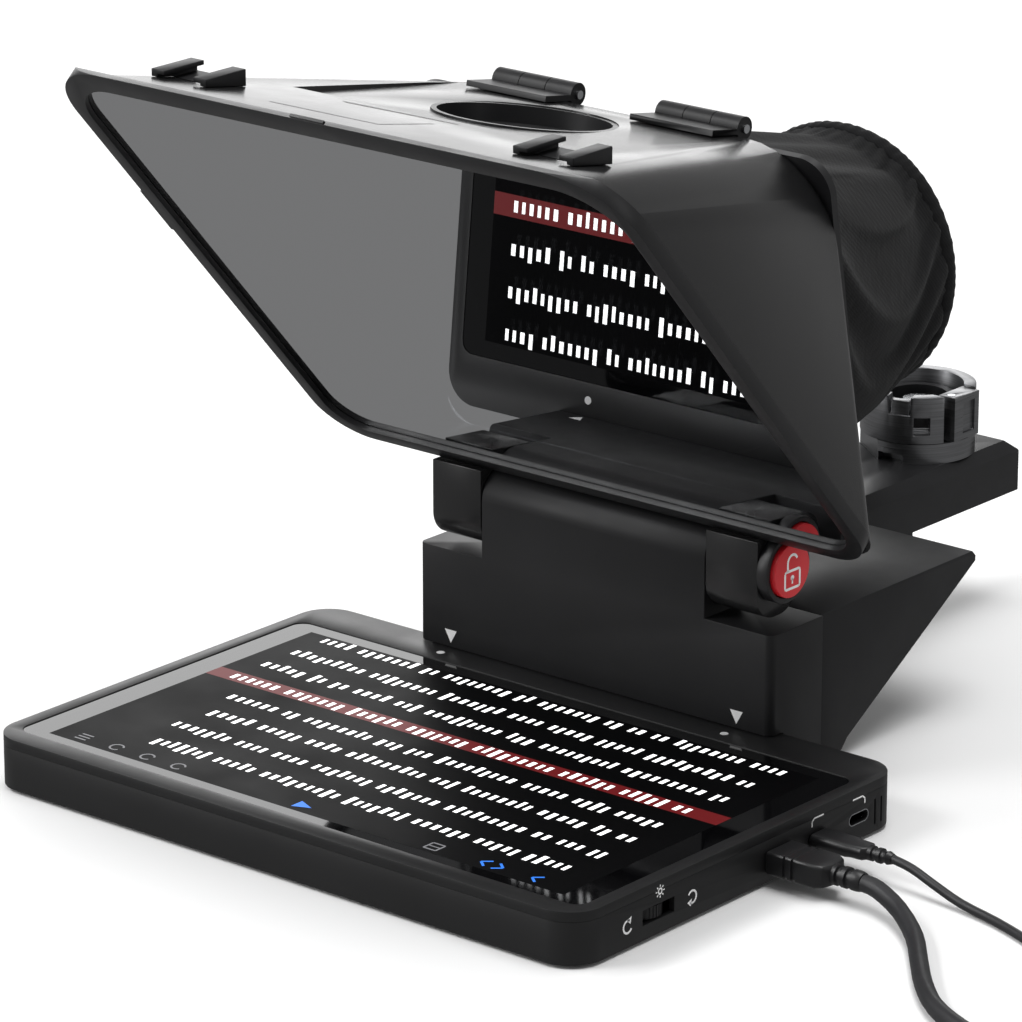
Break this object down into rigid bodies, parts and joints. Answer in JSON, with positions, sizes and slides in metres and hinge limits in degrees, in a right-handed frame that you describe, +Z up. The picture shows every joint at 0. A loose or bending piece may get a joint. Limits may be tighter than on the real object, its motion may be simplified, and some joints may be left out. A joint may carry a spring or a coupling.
{
  "type": "teleprompter",
  "caption": "Desktop teleprompter: flat monitor, folding hood with half-mirrored glass, cloth camera sleeve and camera bar with quick-release puck.",
  "frame": {"origin": "centre of the base on the surface the object stands on", "axes": "+X to the viewer's right, +Y from the reader towards the camera, +Z up"},
  "size_m": [0.4785, 0.382, 0.2481],
  "materials": {
    "anodised_dark": "satin dark grey anodised aluminium",
    "hood_grey": "satin dark grey coat",
    "case_black": "fine-grain matte black plastic",
    "trim_black": "matte black plastic trim",
    "black_glass": "glossy cover glass",
    "splitter_glass": "half-mirrored glass",
    "screen": "lit display panel",
    "board_green": "circuit board",
    "bright_steel": "bright steel",
    "puck_aluminium": "brushed grey aluminium",
    "brass_insert": "machined brass",
    "foot_rubber": "matte black rubber",
    "button_red": "satin red plastic",
    "sleeve_cloth": "matte black light-tight cloth",
    "cable_black": "soft black cable jacket"
  },
  "bodies": {
    "base": {"monitor_tray": "case_black", "monitor_rim": "case_black", "cover_glass": "black_glass", "lcd_panel": "screen", "main_board": "board_green", "hdmi_socket": "bright_steel", "usb_socket_power": "bright_steel", "usb_socket_data": "bright_steel", "wheel_axle": "bright_steel", "monitor_feet": "foot_rubber", "tray_screws": "bright_steel", "bracket_body": "anodised_dark", "bracket_arm": "anodised_dark", "arm_screws": "bright_steel", "tripod_insert": "brass_insert", "rear_foot": "foot_rubber", "tilt_pin": "bright_steel", "camera_bar": "anodised_dark", "bar_screws": "bright_steel", "puck_base": "puck_aluminium", "puck_ring": "puck_aluminium", "puck_socket": "trim_black", "puck_screw": "bright_steel", "puck_lever_pin": "bright_steel", "hdmi_plug": "cable_black", "hdmi_cable": "cable_black", "hdmi_coil": "cable_black", "hdmi_far_plug": "cable_black", "usb_plug": "cable_black", "usb_cable": "cable_black", "usb_coil": "cable_black", "usb_far_plug": "cable_black"},
    "hood": {"lug_left": "hood_grey", "lug_right": "hood_grey", "lug_screws": "bright_steel", "lock_ring": "trim_black", "lock_spring": "bright_steel", "hood_shell": "hood_grey", "glass_frame": "trim_black", "beam_splitter": "splitter_glass", "frame_clips": "trim_black", "shoe_left": "anodised_dark", "shoe_right": "anodised_dark", "port_cup": "trim_black", "hinge_fixed_left": "anodised_dark", "hinge_fixed_right": "anodised_dark", "hinge_pin_left": "bright_steel", "hinge_pin_right": "bright_steel"},
    "rear_door": {"hinge_moving_left": "anodised_dark", "hinge_moving_right": "anodised_dark", "rear_panel": "trim_black", "sleeve": "sleeve_cloth", "sleeve_hem": "sleeve_cloth"},
    "wheel": {"control_wheel": "trim_black"},
    "puck_clamp": {"puck_lever": "puck_aluminium"},
    "lock": {"lock_button": "button_red"}
  },
  "joints": [
    {"name": "hood_tilt", "type": "hinge", "parent": "base", "child": "hood", "pos_m": [0, -0.0165, 0.0757], "axis": [1, 0, 0], "range_deg": [0, 60]},
    {"name": "rear_door_swing", "type": "hinge", "parent": "hood", "child": "rear_door", "pos_m": [0, -0.0135, 0.2225], "axis": [1, 0, 0], "range_deg": [0, 80]},
    {"name": "lock_press", "type": "slide", "parent": "hood", "child": "lock", "axis": [-1, 0, 0], "range_m": [0, 0.002], "stiffness_N_per_m": 400, "springref_m": -0.002, "deforming": ["lock_spring"]},
    {"name": "wheel_turn", "type": "hinge", "parent": "base", "child": "wheel", "pos_m": [0.1203, -0.15, 0.0088], "axis": [0, 0, 1], "range_deg": [-15, 15], "stiffness_Nm_per_rad": 0.02},
    {"name": "puck_clamp_swing", "type": "hinge", "parent": "base", "child": "puck_clamp", "pos_m": [0.018, 0.1555, 0.0762], "axis": [0, 0, -1], "range_deg": [0, 55]}
  ]
}
